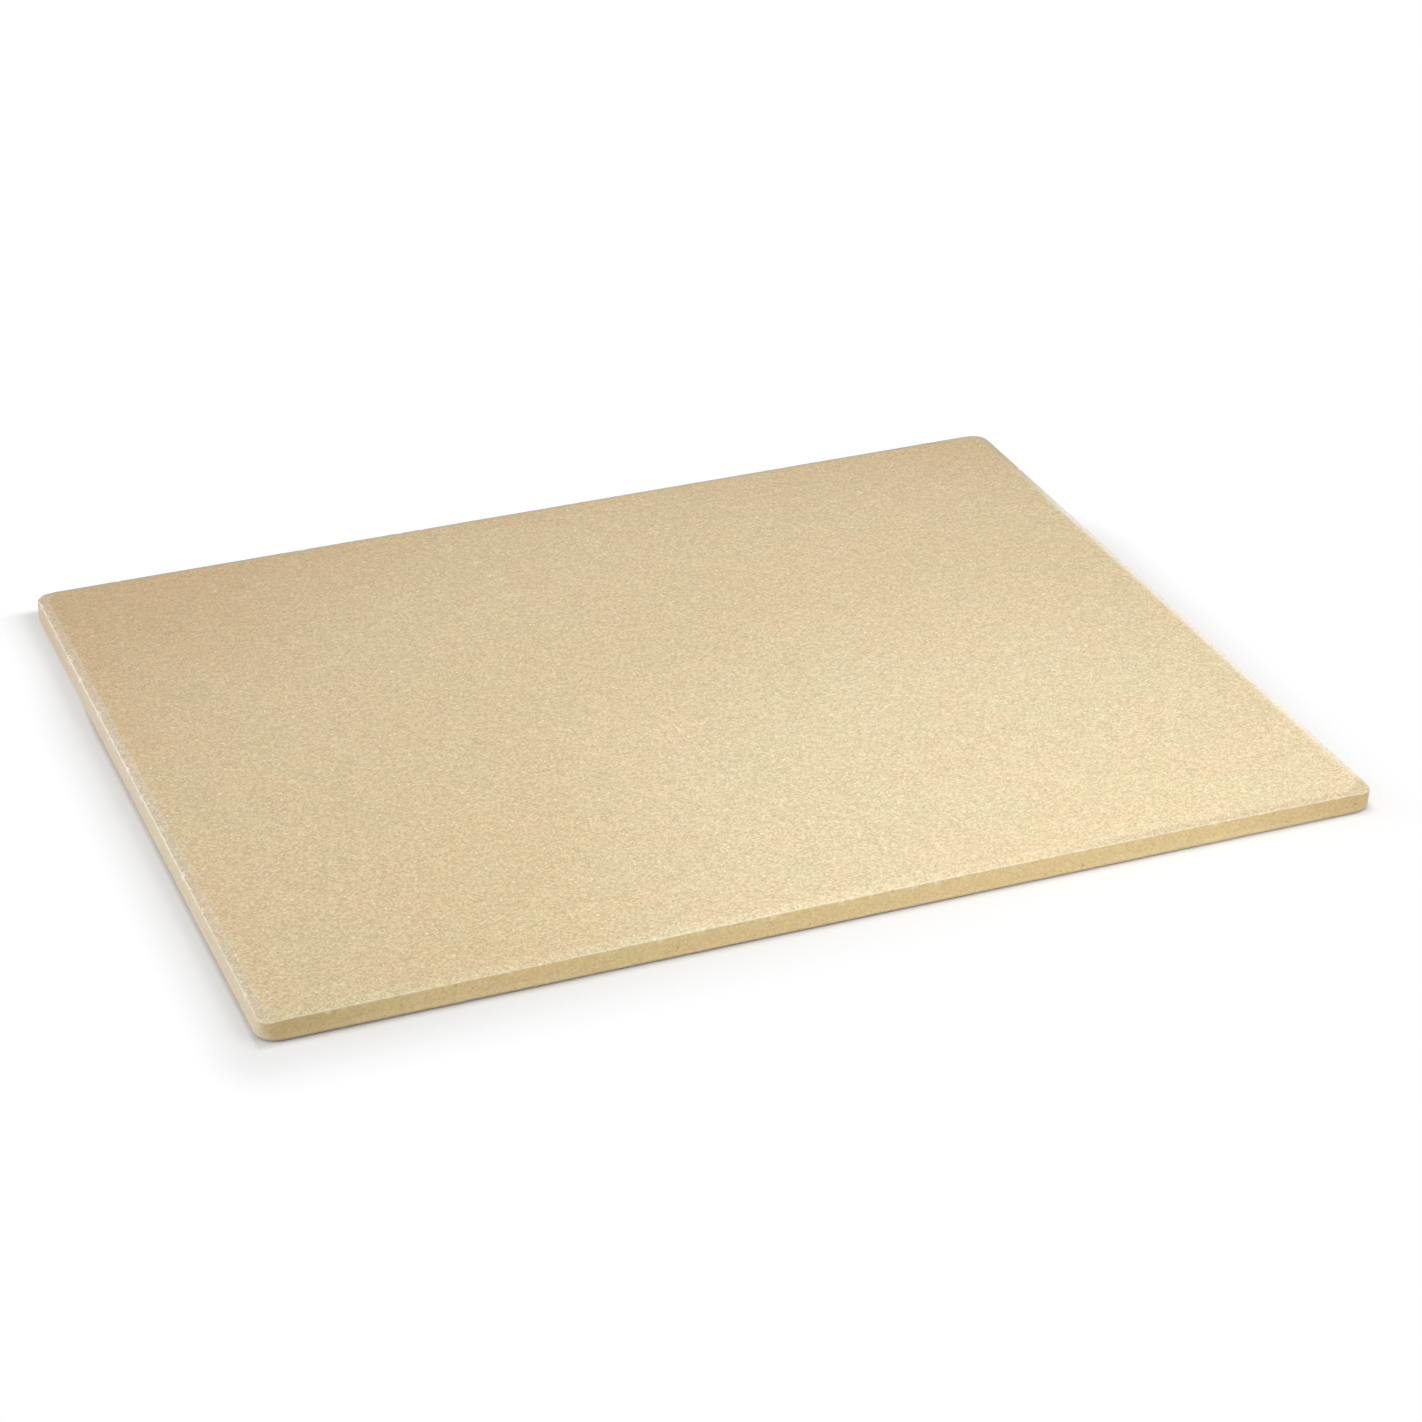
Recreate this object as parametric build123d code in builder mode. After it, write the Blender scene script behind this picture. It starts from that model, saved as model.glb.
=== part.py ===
from build123d import *
from math import atan2, degrees, radians, tan
import os

# Rectangular baking stone: one pressed and fired slab of unglazed ceramic.
# Millimetres, +Z up, origin at the centre of the underside, +X along the long side.

# Overall size
stone_length = 430.0
stone_width = 350.0
stone_thickness = 10.0

# Side wall: it leans inwards as it rises, so that the slab leaves its mould
corner_radius = 8.0
wall_draft_degrees = 4.0

# Bevel round the baking face: wide and shallow, ground after firing.
# The face's corners are rounder than the wall's, so the bevel is wider there
# and runs further down the wall.
bevel_width = 3.8
bevel_drop = 0.95
face_corner_radius = 11.0

# Softened lines: round the face, between bevel and wall, and round the underside
rim_radius = 2.5
arris_radius = 0.7
foot_radius = 1.6


# The rounded foot takes a little off a drafted wall, so the blank starts wider
# and the finished slab measures its full length and width.
foot_angle = radians(90 - wall_draft_degrees)
foot_loss = foot_radius * (1 / tan(foot_angle / 2) - 1)
blank_length = stone_length + 2 * foot_loss
blank_width = stone_width + 2 * foot_loss

# How far the wall leans in by the height of the bevel's outer line
wall_height = stone_thickness - bevel_drop
wall_lean = wall_height * tan(radians(wall_draft_degrees))

# The flat baking face inside the bevel
face_length = blank_length - 2 * (wall_lean + bevel_width)
face_width = blank_width - 2 * (wall_lean + bevel_width)

# The bevel's slope, measured from upright
bevel_flare = degrees(atan2(bevel_width, bevel_drop))


with BuildPart() as baking_stone:
    # The pressed blank, with drafted walls and round corners
    with BuildSketch(Plane.XY):
        RectangleRounded(blank_length, blank_width, corner_radius)
    extrude(amount=stone_thickness, taper=wall_draft_degrees)

    # The bevel: what stands outside a shallow pyramid under the face is ground away
    with BuildSketch(Plane.XY.offset(stone_thickness)):
        RectangleRounded(face_length, face_width, face_corner_radius)
    extrude(amount=-stone_thickness, taper=-bevel_flare, mode=Mode.INTERSECT)

    # The faces, from which the lines that run right round the slab are found
    underside = baking_stone.faces().sort_by(Axis.Z).first
    baking_face = baking_stone.faces().sort_by(Axis.Z).last
    flats = ShapeList([underside, baking_face])
    bevels = (baking_stone.faces() - flats).filter_by(
        lambda face: len(face.edges() & baking_face.edges()) > 0
    )
    walls = baking_stone.faces() - flats - bevels

    # The arris between bevel and wall is softened first, then the two flats' edges
    fillet(bevels.edges() & walls.edges(), radius=arris_radius)
    fillet(baking_stone.faces().sort_by(Axis.Z).first.edges(), radius=foot_radius)
    fillet(baking_stone.faces().sort_by(Axis.Z).last.edges(), radius=rim_radius)

baking_stone.part.label = "baking_stone"

print("baking face:", round(face_length, 2), "x", round(face_width, 2), "mm")
print("bevel slope:", round(90 - bevel_flare, 2), "degrees")

os.makedirs("parts", exist_ok=True)
export_step(baking_stone.part, "parts/baking_stone.step")
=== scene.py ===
"""A rectangular baking stone of unglazed ceramic: its finer slab, finish, light and view.

All lengths are in metres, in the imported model's own frame: +Z up, the origin
at the centre of the underside, +X along the long side.
"""

import logging
import math
import random
from collections.abc import Callable, Iterator
from dataclasses import dataclass, field
from enum import Enum
from functools import reduce

import bmesh
import bpy
from mathutils import Matrix, Vector


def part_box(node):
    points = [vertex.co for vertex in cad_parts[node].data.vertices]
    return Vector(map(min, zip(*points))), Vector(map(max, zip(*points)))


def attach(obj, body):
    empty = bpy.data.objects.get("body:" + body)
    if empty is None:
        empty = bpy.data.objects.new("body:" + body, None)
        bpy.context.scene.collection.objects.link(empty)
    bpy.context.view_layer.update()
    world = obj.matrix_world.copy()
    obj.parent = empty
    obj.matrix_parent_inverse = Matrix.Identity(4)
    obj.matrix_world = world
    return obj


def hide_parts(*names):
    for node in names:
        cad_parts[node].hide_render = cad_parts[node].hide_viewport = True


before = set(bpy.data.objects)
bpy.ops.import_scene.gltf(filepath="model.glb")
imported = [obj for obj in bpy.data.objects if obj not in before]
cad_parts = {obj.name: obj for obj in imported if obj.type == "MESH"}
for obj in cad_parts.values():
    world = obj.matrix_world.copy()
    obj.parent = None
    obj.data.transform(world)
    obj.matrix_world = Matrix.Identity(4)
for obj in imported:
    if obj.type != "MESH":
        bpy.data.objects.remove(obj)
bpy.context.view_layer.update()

log = logging.getLogger("baking_stone")

Colour = tuple[float, float, float]
Span = tuple[float, float]
Piece = bpy.types.Object
Vertex = bmesh.types.BMVert
Edge = bmesh.types.BMEdge
Face = bmesh.types.BMFace
Node = bpy.types.Node
NodeTree = bpy.types.ShaderNodeTree
Socket = bpy.types.NodeSocket
Value = Socket | float | tuple[float, ...]


class Element(Enum):
    """What a selection in edit mode is made of."""

    VERTEX = "VERT"
    EDGE = "EDGE"
    FACE = "FACE"


class Line(Enum):
    """The rounded lines that run right round the slab."""

    ARRIS = "arris"
    RIM = "rim"
    FOOT = "foot"


class Zone(Enum):
    """The parts of the slab's skin that look different, by their attribute's name."""

    ARRIS = "arris_zone"
    RIM = "rim_zone"
    FOOT = "foot_zone"
    WALL = "wall_zone"
    LEFT_END = "left_end_zone"
    BORDER = "border_zone"


class Lamp(Enum):
    """The lamps of the plain studio."""

    FRONT = "front_lamp"
    TOP = "top_lamp"
    FILL = "side_fill"


def finish_with(piece: Piece, kind: str, **settings: object) -> None:
    """Adds a modifier to a piece in object mode and applies it.

    Args:
        piece: The object that it changes.
        kind: The modifier's type, as Blender names it.
        settings: Its properties and their values.
    """
    modifier = piece.modifiers.new(kind.lower(), kind)
    for name, value in settings.items():
        setattr(modifier, name, value)
    bpy.context.view_layer.objects.active = piece
    bpy.ops.object.modifier_apply(modifier=modifier.name)


@dataclass(frozen=True)
class Rounding:
    """How one line that runs round the slab is rounded."""

    line: Line
    one_side: Callable[..., bool]
    other_side: Callable[..., bool]
    radius: float
    turn: float
    steps: int

    def holds(self, edge: Edge) -> bool:
        """Says whether an edge is one where the line's two sides meet."""
        faces = edge.link_faces
        return len(faces) == 2 and any(
            self.one_side(a) and self.other_side(b) for a, b in (faces, reversed(faces))
        )


@dataclass
class BakingStone:
    """The slab as a fine mesh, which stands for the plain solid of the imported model.

    One quarter is cut from a block, divided finely and mirrored twice. The spare
    is the room that it leaves inside the solid's box. The gaps say how near counts
    as touching or straight, and level, same_slope and same_pass how alike two
    slopes are when they count as one.
    """

    low: Vector
    high: Vector
    spare: float = 0.00003
    cut_gap: float = 0.0000003
    straight_gap: float = 0.000003
    seam_gap: float = 0.000015
    ground_gap: float = 0.00012
    corner_radius: float = 0.009
    top_corner_radius: float = 0.0045
    corner_steps: int = 12
    wall_draft: float = math.radians(5.5)
    bevel_width: float = 0.0038
    bevel_drop: float = 0.0008
    face_corner_radius: float = 0.0065
    arris_radius: float = 0.0007
    arris_steps: int = 3
    rim_radius: float = 0.0025
    rim_steps: int = 2
    foot_radius: float = 0.0016
    foot_steps: int = 5
    bevel_ring_shares: tuple[float, ...] = (0.3, 0.62)
    wall_ring_shares: tuple[float, ...] = (0.3, 0.43, 0.56, 0.69)
    corner_ring_shares: tuple[float, ...] = (0.25, 0.5, 0.75)
    level: float = 0.999
    same_slope: float = 0.01
    same_pass: float = 0.99995
    cell: float = 0.0025
    cell_unevenness: float = 0.25
    coarse_every: int = 4
    side_cuts: int = 2
    seed: int = 11
    piece: Piece = field(init=False)

    def __post_init__(self) -> None:
        """Works out the outlines that the cuts follow."""
        self.height = self.high.z - self.low.z
        self.slope = math.atan2(self.bevel_drop, self.bevel_width)
        self.steep = math.sin(self.wall_draft) * 2
        self.lean = self.height * math.tan(self.wall_draft)
        wall_turn = math.pi / 2 - self.wall_draft
        foot_loss = self.foot_radius * (1 / math.tan(wall_turn / 2) - 1)
        box_half = (self.high - self.low) / 2
        self.blank = Vector((box_half.x, box_half.y)) + Vector((1, 1)) * (foot_loss - self.spare)
        wall_height = self.height - self.bevel_drop
        inset = wall_height * math.tan(self.wall_draft) + self.bevel_width
        self.face = self.blank - Vector((inset, inset))
        self.face_arc = self.face - Vector((1, 1)) * self.face_corner_radius

    def build(self) -> Piece:
        """Models the slab.

        Returns:
            The finished object, at the origin.
        """
        self.press_block()
        self.sharpen_top_corner()
        self.grind_bevel()
        self.open_quarter()
        self.soften_lines()
        self.cut_rings()
        self.score_grid()
        self.fan_corner()
        self.unfold_quarters()
        self.refine_sides()
        return self.piece

    def pick(self, element: Element, wanted: Callable[..., bool]) -> int:
        """Selects the parts of the slab in edit mode that a test accepts, and no others.

        Args:
            element: Whether vertices, edges or faces are selected.
            wanted: Takes one vertex, edge or face, and says whether it is selected.

        Returns:
            How many were selected.
        """
        bpy.ops.mesh.select_mode(type=element.value)
        bpy.ops.mesh.select_all(action="DESELECT")
        mesh = bmesh.from_edit_mesh(self.piece.data)
        parts = {Element.VERTEX: mesh.verts, Element.EDGE: mesh.edges, Element.FACE: mesh.faces}
        chosen = [part for part in parts[element] if not part.hide and wanted(part)]
        for part in chosen:
            part.select_set(True)
        mesh.select_flush_mode()
        bmesh.update_edit_mesh(self.piece.data)
        return len(chosen)

    def cut(self, place: Vector, normal: Vector, **settings: bool) -> None:
        """Cuts what is selected along the plane through a place."""
        bpy.ops.mesh.bisect(
            plane_co=place, plane_no=normal, threshold=self.cut_gap, **settings
        )

    def is_wall(self, face: Face) -> bool:
        """Says whether a face stands up as the wall does."""
        return abs(face.normal.z) < self.steep

    def is_bevel(self, face: Face) -> bool:
        """Says whether a face slopes as the bevel does."""
        return abs(face.normal.z - math.cos(self.slope)) < self.same_slope

    def is_top(self, face: Face) -> bool:
        """Says whether a face is part of the baking face."""
        return face.normal.z > self.level

    def is_underside(self, face: Face) -> bool:
        """Says whether a face is part of the underside."""
        return face.normal.z < -self.level

    def is_high(self, vertex: Vertex) -> bool:
        """Says whether a vertex lies in the plane of the baking face."""
        return vertex.co.z > self.height - self.spare

    def press_block(self) -> None:
        """Adds a quarter of the blank with a rounded corner, and leans its walls."""
        bpy.ops.object.select_all(action="DESELECT")
        centre = (self.blank.x / 2, self.blank.y / 2, self.height / 2)
        bpy.ops.mesh.primitive_cube_add(size=1, location=centre)
        self.piece = bpy.context.object
        self.piece.name = "fired_slab"
        self.piece.scale = (self.blank.x, self.blank.y, self.height)
        bpy.ops.object.transform_apply(location=True, rotation=False, scale=True)
        bpy.ops.object.mode_set(mode="EDIT")
        self.pick(
            Element.EDGE,
            lambda edge: all((v.co.xy - self.blank).length < self.spare for v in edge.verts),
        )
        bpy.ops.mesh.bevel(
            offset=self.corner_radius, segments=self.corner_steps, clamp_overlap=False
        )
        self.pick(Element.VERTEX, self.is_high)
        bpy.ops.transform.resize(
            value=(1 - self.lean / self.blank.x, 1 - self.lean / self.blank.y, 1),
            center_override=(0, 0, 0),
        )

    def sharpen_top_corner(self) -> None:
        """Makes the corner's radius smaller at the top than at the foot."""
        corner = Vector((self.blank.x - self.lean, self.blank.y - self.lean, self.height))
        nearby = self.corner_radius + self.spare
        self.pick(
            Element.VERTEX,
            lambda v: all(abs(reach) < nearby for reach in v.co - corner) and self.is_high(v),
        )
        sharper = self.top_corner_radius / self.corner_radius
        bpy.ops.transform.resize(value=(sharper, sharper, 1), center_override=corner)

    def bevel_passes(self) -> Iterator[tuple[Vector, Vector, Vector]]:
        """Gives each pass of the grinding belt round the corner of the baking face.

        Yields:
            A point on the face's outline, the way straight out of the slab
            there, and the ground plane's normal.
        """
        for step in range(self.corner_steps + 1):
            angle = math.pi / 2 * step / self.corner_steps
            out = Vector((math.cos(angle), math.sin(angle), 0))
            point = out * self.face_corner_radius
            point += Vector((self.face_arc.x, self.face_arc.y, self.height))
            normal = out * math.sin(self.slope) + Vector((0, 0, math.cos(self.slope)))
            yield point, out, normal

    def grind_bevel(self) -> None:
        """Grinds the shallow bevel in flat passes, as on a belt."""
        for point, _, normal in self.bevel_passes():
            bpy.ops.mesh.select_all(action="SELECT")
            self.cut(point, normal, use_fill=True, clear_outer=True)
        bpy.ops.mesh.select_all(action="SELECT")
        bpy.ops.mesh.remove_doubles(threshold=self.ground_gap)

    def open_quarter(self) -> None:
        """Takes away the two faces where the quarters meet."""
        self.pick(
            Element.FACE,
            lambda face: self.is_wall(face)
            and min(face.calc_center_median().xy) < self.spare,
        )
        bpy.ops.mesh.delete(type="FACE")

    def soften_lines(self) -> None:
        """Rounds the arris, the rim of the baking face and the foot of the wall."""
        arris_turn = math.pi / 2 - self.slope - self.wall_draft
        foot_turn = math.pi / 2 + self.wall_draft
        roundings = (
            Rounding(
                Line.ARRIS, self.is_wall, self.is_bevel,
                self.arris_radius, arris_turn, self.arris_steps,
            ),
            Rounding(
                Line.RIM, self.is_bevel, self.is_top,
                self.rim_radius, self.slope, self.rim_steps,
            ),
            Rounding(
                Line.FOOT, self.is_underside, self.is_wall,
                self.foot_radius, foot_turn, self.foot_steps,
            ),
        )
        bpy.context.scene.tool_settings.vertex_group_weight = 1.0
        for rounding in roundings:
            self.pick(Element.EDGE, rounding.holds)
            bpy.ops.mesh.bevel(
                offset=rounding.radius * math.tan(rounding.turn / 2),
                segments=rounding.steps,
                clamp_overlap=False,
            )
            self.piece.vertex_groups.new(name=rounding.line.value)
            bpy.ops.object.vertex_group_set_active(group=rounding.line.value)
            bpy.ops.object.vertex_group_assign()

    def cut_rings(self) -> None:
        """Cuts rings into the bevel and the wall, so that wear has points to move there."""
        for point, out, normal in self.bevel_passes():
            for share in self.bevel_ring_shares:
                self.pick(
                    Element.FACE, lambda face: face.normal.dot(normal) > self.same_pass
                )
                self.cut(point + out * self.bevel_width * share, out)
        for share in self.wall_ring_shares:
            self.pick(Element.FACE, self.is_wall)
            self.cut(Vector((0, 0, self.height * share)), Vector((0, 0, 1)))

    def score_grid(self) -> None:
        """Cuts the quarter into uneven cells, and the unseen underside into larger ones."""
        chance = random.Random(self.seed)
        for axis in (0, 1):
            limit = self.face_arc[axis]
            count = round(limit / self.cell)
            for step in range(1, count + 1):
                shift = 0 if step == count else chance.uniform(-1, 1) * self.cell_unevenness
                if step == count or step % self.coarse_every == 0:
                    bpy.ops.mesh.select_all(action="SELECT")
                else:
                    self.pick(Element.FACE, lambda face: face.normal.z > -self.level)
                place, normal = Vector((0, 0, 0)), Vector((0, 0, 0))
                place[axis] = limit * (step + shift) / count
                normal[axis] = 1
                self.cut(place, normal)

    def pass_behind(self, place: Vector) -> int:
        """Gives the number of the bevel's pass that a place on the baking face lies behind."""
        x, y = place.xy - self.face_arc
        return round(math.atan2(max(y, 0), max(x, 0)) / (math.pi / 2) * self.corner_steps)

    def beyond_face(self, place: Vector) -> float:
        """Measures how far a place lies outside the baking face's outline.

        Args:
            place: A place on the slab.

        Returns:
            The distance, which is below 0 inside the outline.
        """
        reach = Vector((abs(place.x), abs(place.y))) - self.face_arc
        outside = Vector((max(reach.x, 0), max(reach.y, 0))).length
        return outside + min(max(reach), 0) - self.face_corner_radius

    def is_face_corner(self, face: Face) -> bool:
        """Says whether a face is part of the baking face's rounded corner."""
        return self.is_top(face) and min(face.calc_center_median().xy - self.face_arc) > 0

    def fan_corner(self) -> None:
        """Cuts the baking face's corner into spokes, and its border into rings."""
        hub = Vector((self.face_arc.x, self.face_arc.y, self.height))
        for step in range(self.corner_steps):
            angle = math.pi / 2 * (step + 0.5) / self.corner_steps
            self.pick(Element.FACE, self.is_face_corner)
            self.cut(hub, Vector((-math.sin(angle), math.cos(angle), 0)))
        for step, (point, out, _) in enumerate(self.bevel_passes()):
            for share in self.corner_ring_shares:
                self.pick(
                    Element.FACE,
                    lambda face: self.is_top(face)
                    and self.pass_behind(face.calc_center_median()) == step,
                )
                self.cut(point - out * self.face_corner_radius * (1 - share), out)

    def unfold_quarters(self) -> None:
        """Mirrors the quarter along the width, and the half along the length."""
        bpy.ops.object.mode_set(mode="OBJECT")
        for across in ((True, False, False), (False, True, False)):
            finish_with(
                self.piece, "MIRROR", use_axis=across, merge_threshold=self.spare
            )

    def runs_along(self, edge: Edge) -> bool:
        """Says whether an edge runs level along a straight side, outside the baking face.

        Args:
            edge: An edge of the whole slab.

        Returns:
            True for an edge of the bevel, the wall or the foot along X or Y.
        """
        limit = self.face - Vector((1, 1)) * self.rim_radius * self.slope
        start, end = (v.co for v in edge.verts)
        run = end - start
        if abs(run.z) > self.spare:
            return False
        along_x = abs(run.y) < self.straight_gap
        along_y = abs(run.x) < self.straight_gap
        return (along_x and min(abs(start.y), abs(end.y)) > limit.y) or (
            along_y and min(abs(start.x), abs(end.x)) > limit.x
        )

    def refine_sides(self) -> None:
        """Divides the edges that run along the bevel, the wall and the foot."""
        bpy.ops.object.mode_set(mode="EDIT")
        self.pick(Element.EDGE, self.runs_along)
        bpy.ops.mesh.subdivide(number_cuts=self.side_cuts)
        bpy.ops.mesh.select_all(action="SELECT")
        bpy.ops.mesh.remove_doubles(threshold=self.seam_gap)
        bpy.ops.mesh.normals_make_consistent(inside=False)
        bpy.ops.object.mode_set(mode="OBJECT")


@dataclass(frozen=True)
class Sag:
    """How far a corner of the baking face sank in the kiln, and how far that spread."""

    side_x: int
    side_y: int
    drop: float
    reach: float


@dataclass(frozen=True)
class Wear:
    """Uneven wear of a line: the width of its patches, their depth and their contrast."""

    line: Line
    width: float
    depth: float
    contrast: float


@dataclass(frozen=True)
class Pores:
    """Open pores of one radius, and the share of the face's crossings that have them."""

    radius: float
    share: float


@dataclass
class Handling:
    """What the kiln, the grinding and years of use have done to the slab.

    Wear only takes material away, so the slab stays inside its box. A tilt is the
    Z of the skin's normal: 0 on an upright wall and 1 on the level face.
    """

    slab: BakingStone
    sags: tuple[Sag, ...] = (
        Sag(-1, -1, 0.0006, 0.2), Sag(1, -1, 0.0006, 0.2), Sag(1, -1, 0.00035, 0.06),
    )
    sagging_depth: float = 0.002
    still_height: float = 0.00192
    wear: tuple[Wear, ...] = (
        Wear(Line.ARRIS, 0.014, 0.00008, 1.3),
        Wear(Line.ARRIS, 0.0022, 0.00007, 1.6),
        Wear(Line.RIM, 0.015, 0.00006, 1.2),
        Wear(Line.FOOT, 0.009, 0.00012, 1.2),
    )
    chips: int = 44
    chip_depth: Span = (0.00012, 0.0004)
    chip_reach: Span = (0.0009, 0.0026)
    pores: tuple[Pores, ...] = (
        Pores(0.0002, 0.02), Pores(0.0003, 0.012), Pores(0.00042, 0.004),
    )
    pore_room: float = 3.0
    pore_level: float = 0.9999
    pore_taper: float = 0.22
    pore_steepness: float = 0.5
    pore_roughness: float = 0.05
    arris_depth: float = 0.0036
    arris_tilts: Span = (0.25, 0.93)
    wall_tilts: Span = (0.35, 0.75)
    rim_half_width: float = 0.00045
    foot_heights: Span = (0.0017, 0.0027)
    turn_start: float = 0.3
    border_start: float = 0.003

    def apply(self) -> None:
        """Wears the slab: corners first, then lines, then the small marks."""
        self.chance = random.Random(self.slab.seed)
        self.let_corners_sag()
        self.wear_lines()
        self.chip_arris()
        self.open_pores()
        self.name_zones()
        self.weigh_normals()

    def push(self, shift: Vector, falloff: str, reach: float) -> None:
        """Moves what is selected, and what lies within reach of it by less."""
        bpy.ops.transform.translate(
            value=shift,
            use_proportional_edit=True,
            proportional_edit_falloff=falloff,
            proportional_size=reach,
        )

    def let_corners_sag(self) -> None:
        """Lowers the baking face a little towards its front corners, where it sagged."""
        slab = self.slab
        bpy.ops.object.mode_set(mode="EDIT")
        slab.pick(Element.VERTEX, lambda v: v.co.z < self.still_height)
        bpy.ops.mesh.hide(unselected=False)
        high = slab.height - self.sagging_depth
        inner = slab.face_arc + Vector((1, 1)) * slab.face_corner_radius / 2
        for sag in self.sags:
            slab.pick(
                Element.VERTEX,
                lambda v: v.co.z > high
                and v.co.x * sag.side_x > inner.x
                and v.co.y * sag.side_y > inner.y,
            )
            self.push(Vector((0, 0, -sag.drop)), "SMOOTH", sag.reach)
        bpy.ops.mesh.reveal(select=False)
        bpy.ops.object.mode_set(mode="OBJECT")

    def wear_lines(self) -> None:
        """Wears the rounded lines unevenly, always inwards."""
        for wear in self.wear:
            texture = bpy.data.textures.new(f"{wear.line.value}_wear", "CLOUDS")
            texture.noise_scale = wear.width
            texture.noise_depth = 2
            texture.contrast = wear.contrast
            finish_with(
                self.slab.piece,
                "DISPLACE",
                texture=texture,
                texture_coords="LOCAL",
                vertex_group=wear.line.value,
                mid_level=0,
                strength=-wear.depth,
            )

    def chip_arris(self) -> None:
        """Knocks small chips out of the arris."""
        piece = self.slab.piece
        bpy.ops.object.mode_set(mode="EDIT")
        mesh = bmesh.from_edit_mesh(piece.data)
        on_arris = [v.index for v in mesh.verts if self.is_on_arris(v.co, v.normal)]
        for index in self.chance.sample(on_arris, self.chips):
            mesh = bmesh.from_edit_mesh(piece.data)
            mesh.verts.ensure_lookup_table()
            bite = -self.chance.uniform(*self.chip_depth) * mesh.verts[index].normal
            self.slab.pick(Element.VERTEX, lambda v: v.index == index)
            self.push(bite, "SHARP", self.chance.uniform(*self.chip_reach))
        bpy.ops.object.mode_set(mode="OBJECT")

    def is_pored(self, vertex: Vertex, pores: Pores) -> bool:
        """Says whether a pore opens at a vertex: at random, where the face has room for it."""
        edges = vertex.link_edges
        return (
            len(edges) == 4
            and vertex.normal.z > self.pore_level
            and min(edge.calc_length() for edge in edges) > pores.radius * self.pore_room
            and self.chance.random() < pores.share
        )

    def open_pores(self) -> None:
        """Sinks small open pores into the baking face, at random crossings of its cells."""
        bpy.ops.object.mode_set(mode="EDIT")
        for pores in self.pores:
            if not self.slab.pick(Element.VERTEX, lambda v: self.is_pored(v, pores)):
                continue
            bpy.ops.mesh.bevel(offset=pores.radius, segments=2, affect="VERTICES")
            bpy.ops.mesh.select_mode(type="FACE")
            bpy.ops.mesh.inset(
                thickness=pores.radius * self.pore_taper,
                depth=-pores.radius * self.pore_steepness,
            )
            bpy.ops.transform.vertex_random(
                offset=pores.radius * self.pore_roughness, seed=self.slab.seed
            )
        bpy.ops.object.mode_set(mode="OBJECT")

    def is_on_arris(self, place: Vector, normal: Vector) -> bool:
        """Says whether a place lies on the rounded arris, by its height and its tilt."""
        low, high = self.arris_tilts
        return place.z > self.slab.height - self.arris_depth and low < normal.z < high

    def zone_weights(self, place: Vector, normal: Vector) -> dict[Zone, float]:
        """Works out how much a place on the skin belongs to each zone.

        Args:
            place: A place on the slab's skin.
            normal: The skin's normal there.

        Returns:
            A share from 0 to 1 for each zone.
        """
        low_tilt, high_tilt = self.wall_tilts
        low_foot, high_foot = self.foot_heights
        beyond = self.slab.beyond_face(place)
        border = self.border_start + self.slab.bevel_width
        return {
            Zone.ARRIS: float(self.is_on_arris(place, normal)),
            Zone.RIM: max(0.0, 1 - abs(beyond) / self.rim_half_width),
            Zone.FOOT: float(low_foot < place.z < high_foot),
            Zone.WALL: min(1.0, max(0.0, (high_tilt - normal.z) / (high_tilt - low_tilt))),
            Zone.LEFT_END: self.turn_to_left(place),
            Zone.BORDER: min(1.0, max(0.0, (beyond + self.border_start) / border)),
        }

    def turn_to_left(self, place: Vector) -> float:
        """Works out how far the skin outside the baking face has turned to the left end.

        Args:
            place: A place on the slab's skin.

        Returns:
            0 on the long sides, the right end and the face, and 1 along the left end.
        """
        reach = Vector((abs(place.x), abs(place.y))) - self.slab.face_arc
        outside = Vector((max(reach.x, 0), max(reach.y, 0)))
        if place.x > 0 or outside.length < self.slab.face_corner_radius:
            return 0.0
        return max(0.0, outside.x / outside.length - self.turn_start) / (1 - self.turn_start)

    def name_zones(self) -> None:
        """Writes each zone's weights to an attribute that the finish reads."""
        piece = self.slab.piece
        weights = [self.zone_weights(v.co, v.normal) for v in piece.data.vertices]
        for zone in Zone:
            attribute = piece.data.attributes.new(zone.value, "FLOAT", "POINT")
            for value, shares in zip(attribute.data, weights):
                value.value = shares[zone]
        piece.vertex_groups.clear()

    def weigh_normals(self) -> None:
        """Shades the slab smooth, with the flats flat right up to their edges."""
        piece = self.slab.piece
        bpy.ops.object.select_all(action="DESELECT")
        piece.select_set(True)
        bpy.context.view_layer.objects.active = piece
        bpy.ops.object.shade_smooth()
        finish_with(piece, "WEIGHTED_NORMAL", keep_sharp=True)


@dataclass(frozen=True)
class Fade:
    """An eased slope between two places on a scale, from a first value to a last one."""

    start: float
    end: float
    first: float = 0.0
    last: float = 1.0


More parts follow.
